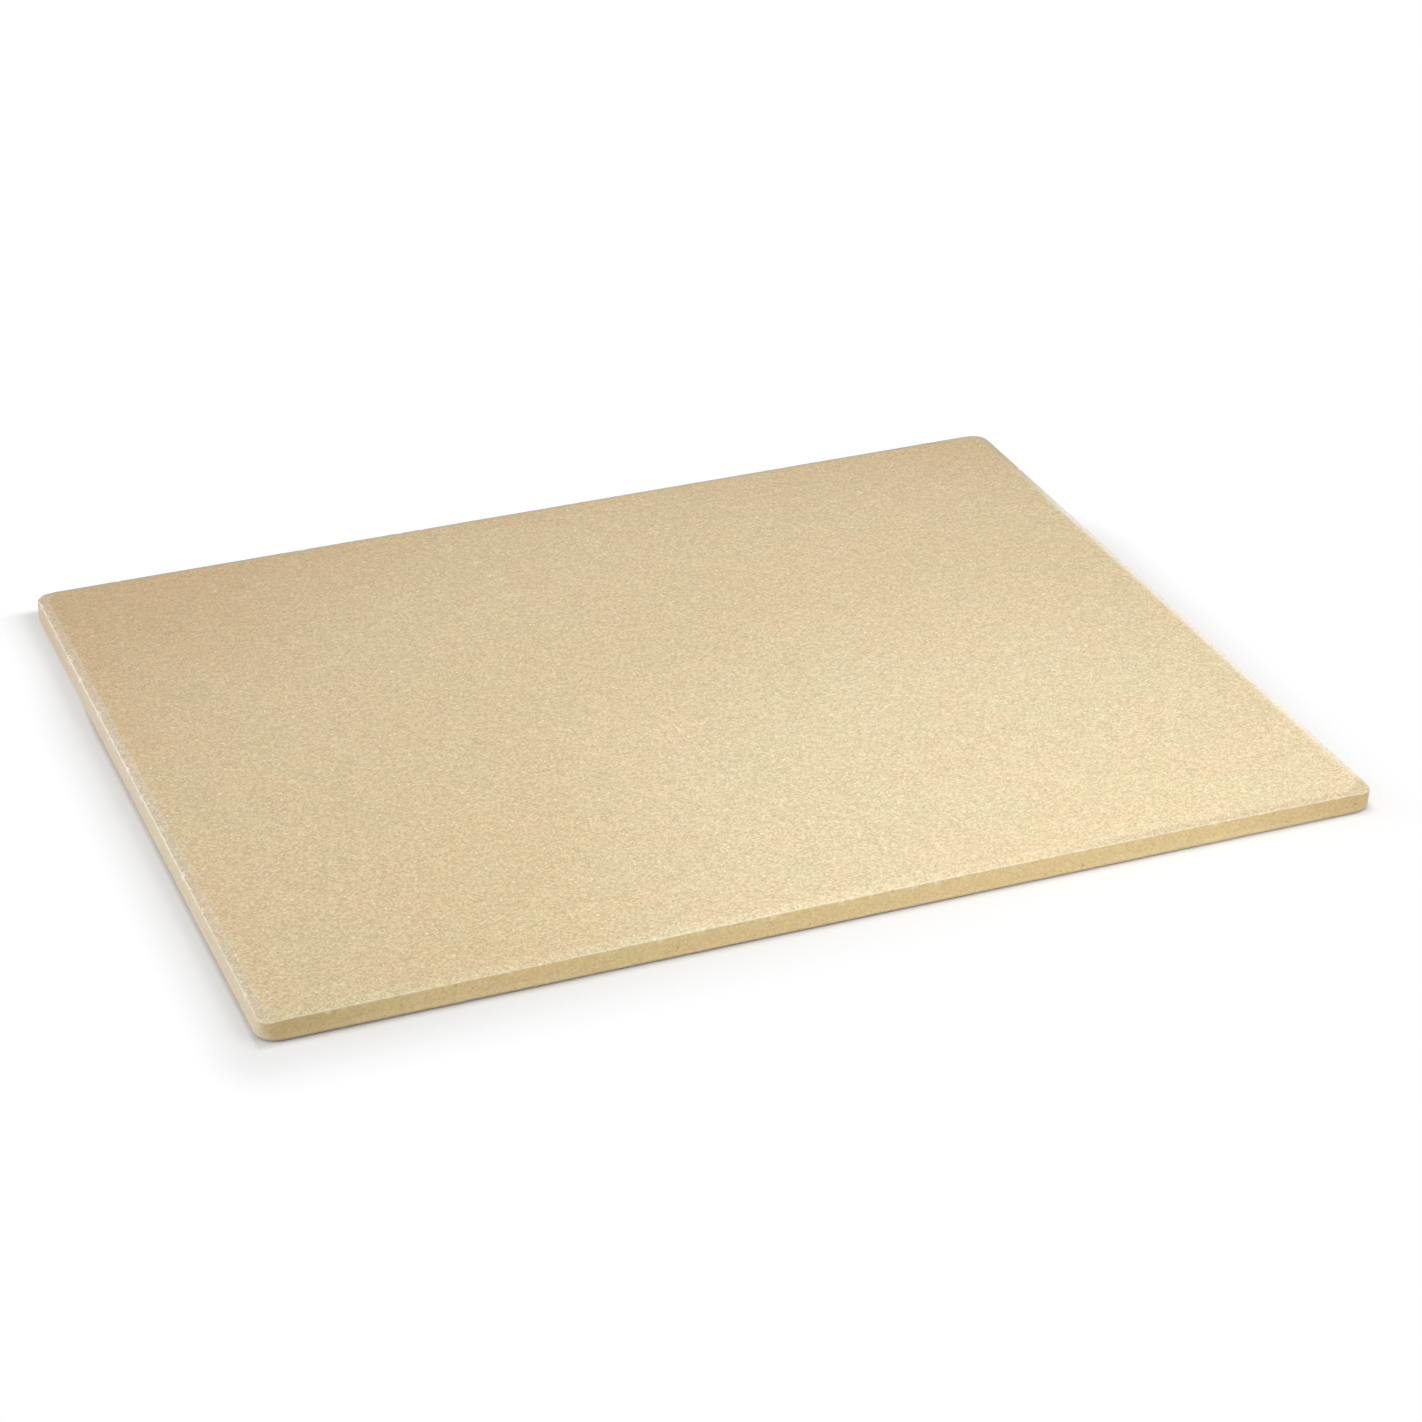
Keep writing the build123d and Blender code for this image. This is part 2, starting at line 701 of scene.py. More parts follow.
@dataclass(frozen=True)
class Wiring:
    """Short ways to add and join shader nodes in one node tree."""

    tree: NodeTree

    def node(self, kind: str, **settings: object) -> Node:
        """Adds a node.

        Args:
            kind: Its type, without the first word that all shader nodes share.
            settings: Its properties and their values.

        Returns:
            The node.
        """
        made = self.tree.nodes.new(f"ShaderNode{kind}")
        for name, value in settings.items():
            setattr(made, name, value)
        return made

    def plug(self, value: Value, socket: Socket) -> None:
        """Feeds a socket.

        Args:
            value: A socket that puts out, a number, a vector, or a colour without alpha.
            socket: The socket that takes it in.
        """
        if isinstance(value, Socket):
            self.tree.links.new(value, socket)
        elif socket.type == "RGBA":
            socket.default_value = (*value, 1.0)
        else:
            socket.default_value = value

    def feed(self, made: Node, *values: Value, **named: Value) -> Node:
        """Feeds a node.

        Args:
            made: The node.
            values: What its first inputs take in, in order.
            named: What other inputs take in, with each space in a name as an underscore.

        Returns:
            The same node.
        """
        sockets = list(made.inputs[:len(values)])
        sockets += [made.inputs[name.replace("_", " ")] for name in named]
        for value, socket in zip((*values, *named.values()), sockets):
            self.plug(value, socket)
        return made

    def use(self, group: NodeTree, **values: Value) -> bpy.types.NodeOutputs:
        """Places an effect's group, feeds its inputs by name, and gives its outputs."""
        return self.feed(self.node("Group", node_tree=group), **values).outputs

    def math(self, operation: str, *values: Value) -> Socket:
        """Adds a Math node, feeds its inputs in order, and gives its result."""
        return self.feed(self.node("Math", operation=operation), *values).outputs[0]

    def vector(self, operation: str, *values: Value) -> Socket:
        """Adds a Vector Math node, and gives its vector, or its length or distance."""
        made = self.feed(self.node("VectorMath", operation=operation), *values)
        return made.outputs["Value" if operation in ("LENGTH", "DISTANCE") else "Vector"]

    def product(self, *masks: Value) -> Socket:
        """Multiplies masks and shares together."""
        return reduce(lambda left, mask: self.math("MULTIPLY", left, mask), masks)

    def without(self, mask: Socket) -> Socket:
        """Turns a mask round: 1 where it is 0."""
        return self.math("SUBTRACT", 1.0, mask)

    def average(self, first: Socket, second: Socket, share: float) -> Socket:
        """Gives the average of two values, weighed by the second one's share."""
        return self.math("MULTIPLY_ADD", first, 1 - share, self.math("MULTIPLY", second, share))

    def fade(self, value: Socket, fade: Fade) -> Socket:
        """Gives a fade's value at a place on its scale, which is level beyond both ends."""
        made = self.node("MapRange", interpolation_type="SMOOTHSTEP")
        return self.feed(made, value, fade.start, fade.end, fade.first, fade.last).outputs[0]

    def blend(self, share: Value, first: Value, second: Value, mode: str = "MIX") -> Socket:
        """Mixes two colours.

        Args:
            share: How much of the second colour shows.
            first: The colour underneath.
            second: The colour on top.
            mode: How they mix, as Blender names it.

        Returns:
            The mixed colour.
        """
        made = self.node("Mix", data_type="RGBA", blend_type=mode)
        # A Mix node's inputs 6 and 7 and its output 2 are the ones for colours.
        for value, index in ((share, 0), (first, 6), (second, 7)):
            self.plug(value, made.inputs[index])
        return made.outputs[2]

    def tint(self, share: Value, body: Socket, tint: Value) -> Socket:
        """Multiplies a colour by a tint, as far as the share says."""
        return self.blend(share, body, tint, mode="MULTIPLY")

    def noise(self, place: Socket, scale: Value, detail: float) -> Node:
        """Adds a noise texture, whose scale says how many lumps it has in a metre."""
        made = self.node("TexNoise", noise_dimensions="3D")
        return self.feed(made, Vector=place, Scale=scale, Detail=detail)

    def cells(self, place: Socket, scale: Socket) -> tuple[Socket, Socket, Socket]:
        """Fills space with cells, each of which has numbers of its own.

        Args:
            place: Where they are read.
            scale: How many there are in a metre.

        Returns:
            The distance from the cell's middle, and two of its random numbers.
        """
        made = self.node("TexVoronoi", voronoi_dimensions="3D", feature="F1")
        self.feed(made, Vector=place, Scale=scale)
        split = self.feed(self.node("SeparateColor"), made.outputs["Color"])
        return made.outputs["Distance"], split.outputs[0], split.outputs[1]

    def shaken(self, place: Socket, noise: Node, reach: Socket) -> Socket:
        """Shifts a place by a noise's colour, at most half the reach each way."""
        centred = self.vector("SUBTRACT", noise.outputs["Color"], (0.5, 0.5, 0.5))
        return self.vector("MULTIPLY_ADD", centred, reach, place)

    def parts(self, place: Socket) -> tuple[Socket, ...]:
        """Splits a place into its X, Y and Z."""
        return tuple(self.feed(self.node("SeparateXYZ"), place).outputs)

    def zone(self, zone: Zone) -> Socket:
        """Reads how much the skin belongs to a zone, from the slab's attribute."""
        return self.node("Attribute", attribute_name=zone.value).outputs["Fac"]


@dataclass
class EffectGroup:
    """A shader node group with named inputs and outputs, built by its effect."""

    name: str
    tree: NodeTree = field(init=False)
    wire: Wiring = field(init=False)

    def __post_init__(self) -> None:
        """Starts the group with its two end nodes."""
        self.tree = bpy.data.node_groups.new(self.name, "ShaderNodeTree")
        self.start = self.tree.nodes.new("NodeGroupInput")
        self.end = self.tree.nodes.new("NodeGroupOutput")
        self.wire = Wiring(self.tree)

    def takes(self, name: str, default: float | None = None) -> Socket:
        """Gives the group an input.

        Args:
            name: The input's name.
            default: The number where nothing is plugged in. Without one, it is a vector.

        Returns:
            The socket inside the group that carries it.
        """
        kind = "NodeSocketVector" if default is None else "NodeSocketFloat"
        made = self.tree.interface.new_socket(name, in_out="INPUT", socket_type=kind)
        if default is not None:
            made.default_value = default
        return self.start.outputs[name]

    def gives(self, name: str, source: Socket) -> None:
        """Gives the group an output that is a number, fed from a socket inside it."""
        self.tree.interface.new_socket(name, in_out="OUTPUT", socket_type="NodeSocketFloat")
        self.tree.links.new(source, self.end.inputs[name])


@dataclass(frozen=True)
class Skin(Wiring):
    """The wiring of the stone's material, with the place and the masks it goes by."""

    place: Socket
    wall: Socket
    turned: Socket


@dataclass
class CeramicEffects:
    """The effects that make fired, unglazed clay look like itself.

    The grain's and the loose grains' noise are factors: how much finer it is than
    their cells. The spot's noise, for the kiln's colour and for painted light, has
    that many lumps to a metre, and its drift is in metres. The least size is added
    to a grain's own, from 0 to 1.
    """

    grain_noise: float = 1.6
    grain_blur: float = 0.5
    grain_contrast: float = 0.75
    grain_shift: float = 0.12
    grain_dome: float = 0.8
    loose_noise: float = 4.0
    loose_jag: float = 0.5
    least_size: float = 0.4
    grain_rim: Fade = Fade(0.0, 0.4)
    cloud_tones: Fade = Fade(0.3, 0.7)
    spot_noise: float = 30.0
    spot_drift: float = 0.06
    line_gaps: Fade = Fade(0.3, 0.6, 0.35, 1.0)

    def __post_init__(self) -> None:
        """Builds each effect's group once."""
        self.sandy_grain = self.make_sandy_grain()
        self.loose_grains = self.make_loose_grains()
        self.kiln_clouds = self.make_kiln_clouds()
        self.fired_and_lit_spot = self.make_fired_and_lit_spot()
        self.broken_line = self.make_broken_line()

    def make_sandy_grain(self) -> NodeTree:
        """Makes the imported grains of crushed, fired clay.

        Returns:
            The group, which puts out their tone and relief.
        """
        group = EffectGroup("sandy grain")
        wire = group.wire
        place = group.takes("Vector")
        size = group.takes("Grain Size", 0.0008)
        scale = wire.math("DIVIDE", 1.0, size)
        noise = wire.noise(place, wire.math("MULTIPLY", scale, self.grain_noise), detail=2.0)
        distance, number, _ = wire.cells(wire.shaken(place, noise, size), scale)
        blur = wire.math("MULTIPLY", noise.outputs[0], self.grain_blur)
        blur = wire.math("SUBTRACT", blur, self.grain_shift)
        tone = wire.math("MULTIPLY_ADD", number, self.grain_contrast, blur)
        group.gives("Tone", tone)
        group.gives("Relief", wire.math("MULTIPLY_ADD", distance, -self.grain_dome, tone))
        return group.tree

    def make_loose_grains(self) -> NodeTree:
        """Makes single grains that stand out: some cells hold one, most don't.

        Returns:
            The group, which puts out a mask of the grains.
        """
        group = EffectGroup("loose grains")
        wire = group.wire
        place = group.takes("Vector")
        spacing = group.takes("Spacing", 0.003)
        share = group.takes("Share", 0.2)
        radius = group.takes("Radius", 0.2)
        scale = wire.math("DIVIDE", 1.0, spacing)
        noise = wire.noise(place, wire.math("MULTIPLY", scale, self.loose_noise), detail=1.0)
        jag = wire.math("MULTIPLY", spacing, self.loose_jag)
        distance, number, bulk = wire.cells(wire.shaken(place, noise, jag), scale)
        held = wire.math("LESS_THAN", number, share)
        size = wire.math("MULTIPLY", radius, wire.math("ADD", bulk, self.least_size))
        depth = wire.without(wire.math("DIVIDE", distance, size))
        group.gives("Mask", wire.product(held, wire.fade(depth, self.grain_rim)))
        return group.tree

    def make_kiln_clouds(self) -> NodeTree:
        """Makes soft clouds, as the kiln's heat leaves them.

        Returns:
            The group, which puts out their tone.
        """
        group = EffectGroup("kiln clouds")
        wire = group.wire
        place = group.takes("Vector")
        scale = wire.math("DIVIDE", 1.0, group.takes("Width", 0.05))
        noise = wire.noise(place, scale, detail=1.0)
        group.gives("Tone", wire.fade(noise.outputs[0], self.cloud_tones))
        return group.tree

    def make_fired_and_lit_spot(self) -> NodeTree:
        """Makes a mask that changes away from a spot: for the kiln's colour, and for painted
        light and shade round a pool of light.

        Returns:
            The group, which puts out a mask: 0 round the spot and 1 far from it.
        """
        group = EffectGroup("fired and lit spot")
        wire = group.wire
        place = group.takes("Vector")
        spot = group.takes("Spot")
        near = group.takes("Near", 0.25)
        far = group.takes("Far", 0.45)
        noise = wire.noise(place, self.spot_noise, detail=2.0)
        apart = wire.vector("DISTANCE", place, spot)
        drift = wire.math("MULTIPLY_ADD", noise.outputs[0], self.spot_drift, apart)
        drift = wire.math("SUBTRACT", drift, self.spot_drift / 2)
        ramp = wire.node("MapRange", interpolation_type="SMOOTHSTEP")
        group.gives("Mask", wire.feed(ramp, drift, near, far).outputs[0])
        return group.tree

    def make_broken_line(self) -> NodeTree:
        """Makes a pale line, partly wear and partly painted highlight, come and go along its
        length.

        Returns:
            The group, which puts out the line's mask with gaps in it.
        """
        group = EffectGroup("broken line")
        wire = group.wire
        place = group.takes("Vector")
        line = group.takes("Line", 0.0)
        scale = wire.math("DIVIDE", 1.0, group.takes("Break Width", 0.004))
        noise = wire.noise(place, scale, detail=3.0)
        group.gives("Mask", wire.product(line, wire.fade(noise.outputs[0], self.line_gaps)))
        return group.tree


@dataclass(frozen=True)
class LooseGrains:
    """Single grains of one colour: how closely they lie, and how much they show."""

    colour: Colour
    spacing: float
    share: float
    radius: float
    strength: float
    lost_on_wall: float = 0.0


@dataclass(frozen=True)
class Spot:
    """A round part of the slab, whose tint lies on it or starts beyond it."""

    middle: tuple[float, float, float]
    near: float
    far: float
    tint: Colour


@dataclass(frozen=True)
class BorderTones:
    """The tones of the bevel, the wall and the foot, which differ from side to side; several are
    painted light and shade.

    A fade named for a part or an end runs along X or Y, and one named for the
    border runs outwards from just inside the face's outline to the arris.
    """

    # Painted shade: the long walls darker towards their ends, where the light falls off.
    wall_end: Colour = (0.84, 0.81, 0.76)
    # Painted light on the left end: a cool light, and towards the back a paler painted
    # reflection of the white floor.
    cool_lit_end: Colour = (0.885, 0.985, 1.38)
    pale_lit_end: Colour = (1.08, 1.14, 1.36)
    creamy_front: Colour = (1.03, 1.10, 1.17)
    dull_front: Colour = (0.86, 0.86, 0.87)
    # Painted highlight: the right bevel paler and speckled, where the light from the right
    # catches it.
    painted_right_highlight: Colour = (0.94, 0.91, 0.84)
    # Painted shade: the back border darker and greyer, as it faces away from the light.
    painted_back_shade: Colour = (0.70, 0.78, 0.88)
    # Painted contact shadow: the front wall's foot darker near the floor.
    painted_foot_shade: Colour = (0.58, 0.56, 0.49)
    bevel_border: Fade = Fade(0.3, 0.75)
    front_part: Fade = Fade(-0.160, -0.168)
    wall_end_part: Fade = Fade(0.15, 0.215)
    end_light_noise: float = 160.0
    end_light_drift: float = 0.5
    end_light_border: Fade = Fade(0.35, 0.9)
    end_light_on_bevel: float = 0.6
    pale_lit_part: Fade = Fade(-0.10, 0.13)
    creamy_part: Fade = Fade(0.02, -0.06)
    dull_part: Fade = Fade(0.05, 0.12)
    right_part: Fade = Fade(0.203, 0.209)
    right_back_end: Fade = Fade(0.08, 0.15, 1.0, 0.0)
    right_front_end: Fade = Fade(-0.180, -0.10, 0.35, 1.0)
    speckle_noise: float = 900.0
    speckle: Fade = Fade(0.35, 0.65, 0.42, 0.86)
    back_border: Fade = Fade(0.3, 0.7)
    back_part: Fade = Fade(0.08, 0.15)
    back_right_end: Fade = Fade(0.190, 0.208, 1.0, 0.35)
    foot_height: Fade = Fade(0.0007, 0.0016, 1.0, 0.0)
    foot_right_end: Fade = Fade(0.0, 0.2, 1.0, 0.3)

    def paint(self, skin: Skin, body: Socket) -> Socket:
        """Tints the border side by side: painted shade on the long walls' ends, along the back
        and at the front foot, painted cool light and reflection on the left end, a painted
        highlight on the right bevel, and paler and duller tones on the front bevel.

        Args:
            skin: The stone's skin.
            body: The clay's colour.

        Returns:
            The colour with the border's tones.
        """
        x, y, z = skin.parts(skin.place)
        unturned = skin.without(skin.turned)
        border = skin.zone(Zone.BORDER)
        bevel = skin.product(skin.fade(border, self.bevel_border), skin.without(skin.wall))
        front = skin.product(skin.fade(y, self.front_part), unturned)
        front_bevel = skin.product(bevel, front)

        # Painted shade: the long walls darker towards their ends, where the light falls off.
        end = skin.fade(skin.math("ABSOLUTE", x), self.wall_end_part)
        body = skin.tint(skin.product(skin.wall, end, unturned), body, self.wall_end)

        # Painted cool light and a painted reflection of the white floor on the left end, broken
        # by noise.
        drift = skin.noise(skin.place, self.end_light_noise, detail=2.0).outputs[0]
        drift = skin.math("MULTIPLY_ADD", drift, self.end_light_drift, border)
        cool_lit = skin.product(skin.turned, skin.fade(drift, self.end_light_border))
        pale_lit = skin.product(cool_lit, skin.fade(y, self.pale_lit_part))
        body = skin.tint(pale_lit, body, self.pale_lit_end)
        on_bevel = self.end_light_on_bevel
        stronger = skin.math("MULTIPLY_ADD", skin.wall, 1 - on_bevel, on_bevel)
        body = skin.tint(skin.product(cool_lit, stronger), body, self.cool_lit_end)

        creamy = skin.product(front_bevel, skin.fade(x, self.creamy_part))
        body = skin.tint(creamy, body, self.creamy_front)
        dull = skin.product(front_bevel, skin.fade(x, self.dull_part))
        body = skin.tint(dull, body, self.dull_front)

        # Painted highlight along the right bevel, speckled by noise.
        speckle = skin.noise(skin.place, self.speckle_noise, detail=2.0).outputs[0]
        right = skin.product(
            skin.fade(x, self.right_part),
            bevel,
            skin.fade(y, self.right_back_end),
            skin.fade(y, self.right_front_end),
            skin.without(front),
            skin.fade(speckle, self.speckle),
        )
        body = skin.blend(right, body, self.painted_right_highlight)

        # Painted shade along the back border, which faces away from the light.
        back = skin.product(
            skin.fade(border, self.back_border),
            skin.fade(y, self.back_part),
            unturned,
            skin.fade(x, self.back_right_end),
        )
        body = skin.tint(back, body, self.painted_back_shade)

        # Painted contact shadow at the front wall's foot.
        foot = skin.product(
            skin.fade(z, self.foot_height), front, skin.fade(x, self.foot_right_end)
        )
        return skin.tint(foot, body, self.painted_foot_shade)


@dataclass(frozen=True)
class FiredCeramic:
    """The stone's finish: matt, sandy, unglazed buff clay."""

    effects: CeramicEffects
    border: BorderTones = BorderTones()
    dark_grain: Colour = (0.425, 0.31, 0.142)
    pale_grain: Colour = (0.825, 0.648, 0.375)
    grain_size: float = 0.0007
    coarse_grain_size: float = 0.002
    coarse_share: float = 0.16
    lost_on_wall: float = 0.5
    chalk: LooseGrains = LooseGrains((0.92, 0.765, 0.53), 0.0022, 0.45, 0.2, 0.8, 0.65)
    rust: LooseGrains = LooseGrains((0.27, 0.185, 0.09), 0.0029, 0.3, 0.15, 0.6)
    rosy_cloud: Colour = (1.016, 0.985, 0.962)
    straw_cloud: Colour = (0.984, 1.004, 0.965)
    narrow_cloud: float = 0.006
    broad_cloud: float = 0.022
    broad_share: float = 0.8
    # Partly the kiln's colour and partly painted shade: deeper and darker away from the front,
    # where the light falls off.
    deep_fired_and_shaded: Spot = Spot((0.06, -0.15, 0.0), 0.26, 0.42, (0.885, 0.77, 0.63))
    # Painted pool of light: paler and less saturated round a spot at the front right.
    painted_light_pool: Spot = Spot((0.10, -0.15, 0.0), 0.10, 0.23, (1.06, 1.11, 1.21))
    # Painted shade: the wall a deeper copy of the same clay, for the difference in light between
    # wall and face.
    wall_tint: Colour = (1.0, 0.98, 0.86)
    # Pale lines, partly wear and partly painted highlight, left out along the back, which faces
    # away from the light.
    worn_highlit_line: Colour = (0.84, 0.76, 0.62)
    worn_highlit_shares: tuple[tuple[Zone, float], ...] = (
        (Zone.ARRIS, 0.5), (Zone.RIM, 0.2), (Zone.FOOT, 0.15),
    )
    worn_highlit_part: Fade = Fade(0.150, 0.1675, 1.0, 0.0)
    worn_highlit_end: Colour = (0.90, 0.85, 0.78)
    worn_highlit_end_part: Fade = Fade(-0.17, -0.02, 0.15, 0.6)
    roughness: Fade = Fade(0.2, 0.8, 0.42, 0.58)
    specular: float = 0.7
    sheen: float = 0.25
    sheen_roughness: float = 0.5
    coarse_relief: float = 1.5
    bump_strength: float = 0.35
    bump_height: float = 0.00012

    def material(self) -> bpy.types.Material:
        """Makes the material.

        Returns:
            The material, on Object coordinates and the slab's zone attributes.
        """
        made = bpy.data.materials.new("fired_ceramic")
        made.use_nodes = True
        made.node_tree.nodes.clear()
        wire = Wiring(made.node_tree)
        place = wire.node("TexCoord").outputs["Object"]
        skin = Skin(wire.tree, place, wire.zone(Zone.WALL), wire.zone(Zone.LEFT_END))
        fine, coarse = (
            skin.use(self.effects.sandy_grain, Vector=place, Grain_Size=size)
            for size in (self.grain_size, self.coarse_grain_size)
        )
        tone = skin.average(fine["Tone"], coarse["Tone"], self.coarse_share)
        contrast = skin.math("MULTIPLY_ADD", skin.wall, -self.lost_on_wall, 1.0)
        tone = skin.math("MULTIPLY_ADD", skin.math("SUBTRACT", tone, 0.5), contrast, 0.5)
        colour = self.clay_colour(skin, tone)
        colour = self.loose_colour(skin, colour)
        colour = self.fired_and_lit_colour(skin, colour)
        colour = self.border.paint(skin, colour)
        colour = self.line_colour(skin, colour)
        relief = skin.math(
            "MULTIPLY_ADD", coarse["Relief"], self.coarse_relief, fine["Relief"]
        )
        bump = skin.feed(
            skin.node("Bump"),
            Strength=self.bump_strength,
            Distance=self.bump_height,
            Height=relief,
        )
        shader = skin.feed(
            skin.node("BsdfPrincipled"),
            Base_Color=colour,
            Roughness=skin.fade(tone, self.roughness),
            Specular_IOR_Level=self.specular,
            Sheen_Weight=self.sheen,
            Sheen_Roughness=self.sheen_roughness,
            Normal=bump.outputs[0],
        )
        skin.feed(skin.node("OutputMaterial"), Surface=shader.outputs[0])
        return made

    def clay_colour(self, skin: Skin, tone: Socket) -> Socket:
        """Colours the body of the clay: packed grains under soft clouds.

        Args:
            skin: The stone's skin.
            tone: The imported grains' tone.

        Returns:
            The clay's colour.
        """
        body = skin.blend(tone, self.dark_grain, self.pale_grain)
        narrow, broad = (
            skin.use(self.effects.kiln_clouds, Vector=skin.place, Width=width)["Tone"]
            for width in (self.narrow_cloud, self.broad_cloud)
        )
        cast = skin.average(narrow, broad, self.broad_share)
        return skin.tint(1.0, body, skin.blend(cast, self.rosy_cloud, self.straw_cloud))

    def loose_colour(self, skin: Skin, body: Socket) -> Socket:
        """Scatters the chalky grains, which the wall shows less, and the rusty ones.

        Args:
            skin: The stone's skin.
            body: The clay's colour.

        Returns:
            The colour with the grains.
        """
        for grains in (self.chalk, self.rust):
            mask = skin.use(
                self.effects.loose_grains,
                Vector=skin.place,
                Spacing=grains.spacing,
                Share=grains.share,
                Radius=grains.radius,
            )["Mask"]
            showing = skin.math(
                "MULTIPLY_ADD", skin.wall, -grains.lost_on_wall, grains.strength
            )
            body = skin.blend(skin.product(mask, showing), body, grains.colour)
        return body

    def fired_and_lit_colour(self, skin: Skin, body: Socket) -> Socket:
        """Deepens the clay away from a spot at the front, partly as the kiln's colour and partly
        as painted shade where the light falls off, pales a patch there as a painted pool of
        light, and deepens the wall as painted shade.

        Args:
            skin: The stone's skin.
            body: The clay's colour.

        Returns:
            The fired colour.
        """
        far_from_spot, beyond_pale = (
            skin.use(
                self.effects.fired_and_lit_spot,
                Vector=skin.place,
                Spot=spot.middle,
                Near=spot.near,
                Far=spot.far,
            )["Mask"]
            for spot in (self.deep_fired_and_shaded, self.painted_light_pool)
        )
        # Partly the kiln's colour, partly painted shade far from the pool of light.
        body = skin.tint(far_from_spot, body, self.deep_fired_and_shaded.tint)
        # Painted pool of light on the face round the spot.
        pale = skin.product(skin.without(beyond_pale), skin.without(skin.wall))
        body = skin.tint(pale, body, self.painted_light_pool.tint)
        # Painted shade: the wall deeper than the face.
        return skin.tint(skin.wall, body, self.wall_tint)

    def line_colour(self, skin: Skin, body: Socket) -> Socket:
        """Pales the rounded lines, partly as wear and partly as a painted highlight, most at the
        left end, but not along the back, which faces away from the light.

        Args:
            skin: The stone's skin.
            body: The colour underneath.

        Returns:
            The colour with the worn lines.
        """
        _, y, _ = skin.parts(skin.place)
        shown = skin.math("MAXIMUM", skin.fade(y, self.worn_highlit_part), skin.turned)
        for zone, share in self.worn_highlit_shares:
            line = skin.zone(zone)
            worn_highlit = skin.use(self.effects.broken_line, Vector=skin.place, Line=line)["Mask"]
            # Pale lines: partly wear and partly painted highlight, paler still on the left end's
            # arris.
            body = skin.blend(skin.product(worn_highlit, share, shown), body, self.worn_highlit_line)
            if zone is Zone.ARRIS:
                end = skin.product(worn_highlit, skin.turned, skin.fade(y, self.worn_highlit_end_part))
                body = skin.blend(end, body, self.worn_highlit_end)
        return body


def towards(azimuth: float, elevation: float) -> Vector:
    """Gives the way from the stone to a place round it.

    Args:
        azimuth: Degrees from the front, towards the right end.
        elevation: Degrees above the floor.

    Returns:
        A vector one metre long.
    """
    turn = math.radians(azimuth)
    rise = math.radians(elevation)
    return Vector((
        math.sin(turn) * math.cos(rise), -math.cos(turn) * math.cos(rise), math.sin(rise)
    ))


def put_in_scene(name: str, data: bpy.types.ID) -> Piece:
    """Makes an object and adds it to the scene.

    Args:
        name: Its name.
        data: The camera or the lamp that it holds.

    Returns:
        The object.
    """
    made = bpy.data.objects.new(name, data)
    bpy.context.scene.collection.objects.link(made)
    return made


@dataclass(frozen=True)
class PhotoCamera:
    """The camera, at the viewing angle of the reference picture.

    Angles are in degrees: azimuth and elevation say where it stands, and roll
    turns the picture about the line of sight.
    """

    azimuth: float = -21.03
    elevation: float = 28.256
    roll: float = -0.516
    aim_x: float = 0.01323
    aim_y: float = -0.00871
    distance: float = 1.49545
    picture_side: float = 1422.0
    focal_pixels: float = 3810.37
    sensor_width: float = 36.0
    nearest: float = 0.05
    farthest: float = 50.0

    def build(self) -> Piece:
        """Makes the camera and gives it to the scene.

        Returns:
            The camera object.
        """
        back = towards(self.azimuth, self.elevation)
        level_right = (-back).cross(Vector((0, 0, 1))).normalized()
        level_up = level_right.cross(-back)
        roll = math.radians(self.roll)
        right = math.cos(roll) * level_right + math.sin(roll) * level_up
        up = math.cos(roll) * level_up - math.sin(roll) * level_right

        data = bpy.data.cameras.new("photo_camera")
        data.sensor_width = self.sensor_width
        data.lens = self.focal_pixels / self.picture_side * self.sensor_width
        data.clip_start = self.nearest
        data.clip_end = self.farthest
        camera = put_in_scene("photo_camera", data)
        turn = Matrix((right, up, back)).transposed().to_4x4()
        aim = Vector((self.aim_x, self.aim_y, 0))
        camera.matrix_world = Matrix.Translation(aim + back * self.distance) @ turn
        bpy.context.scene.camera = camera
        return camera


@dataclass(frozen=True)
class AreaLamp:
    """A round soft lamp, hung on a dome round the stone and turned to it."""

    role: Lamp
    azimuth: float
    elevation: float
    distance: float
    size: float
    power: float

    def hang(self) -> Piece:
        """Hangs the lamp.

        Returns:
            The lamp object.
        """
        data = bpy.data.lights.new(self.role.value, "AREA")
        data.shape = "DISK"
        data.size = self.size
        data.energy = self.power
        lamp = put_in_scene(self.role.value, data)
        lamp.location = self.distance * towards(self.azimuth, self.elevation)
        lamp.rotation_mode = "QUATERNION"
        lamp.rotation_quaternion = (-lamp.location).to_track_quat("-Z", "Y")
        return lamp


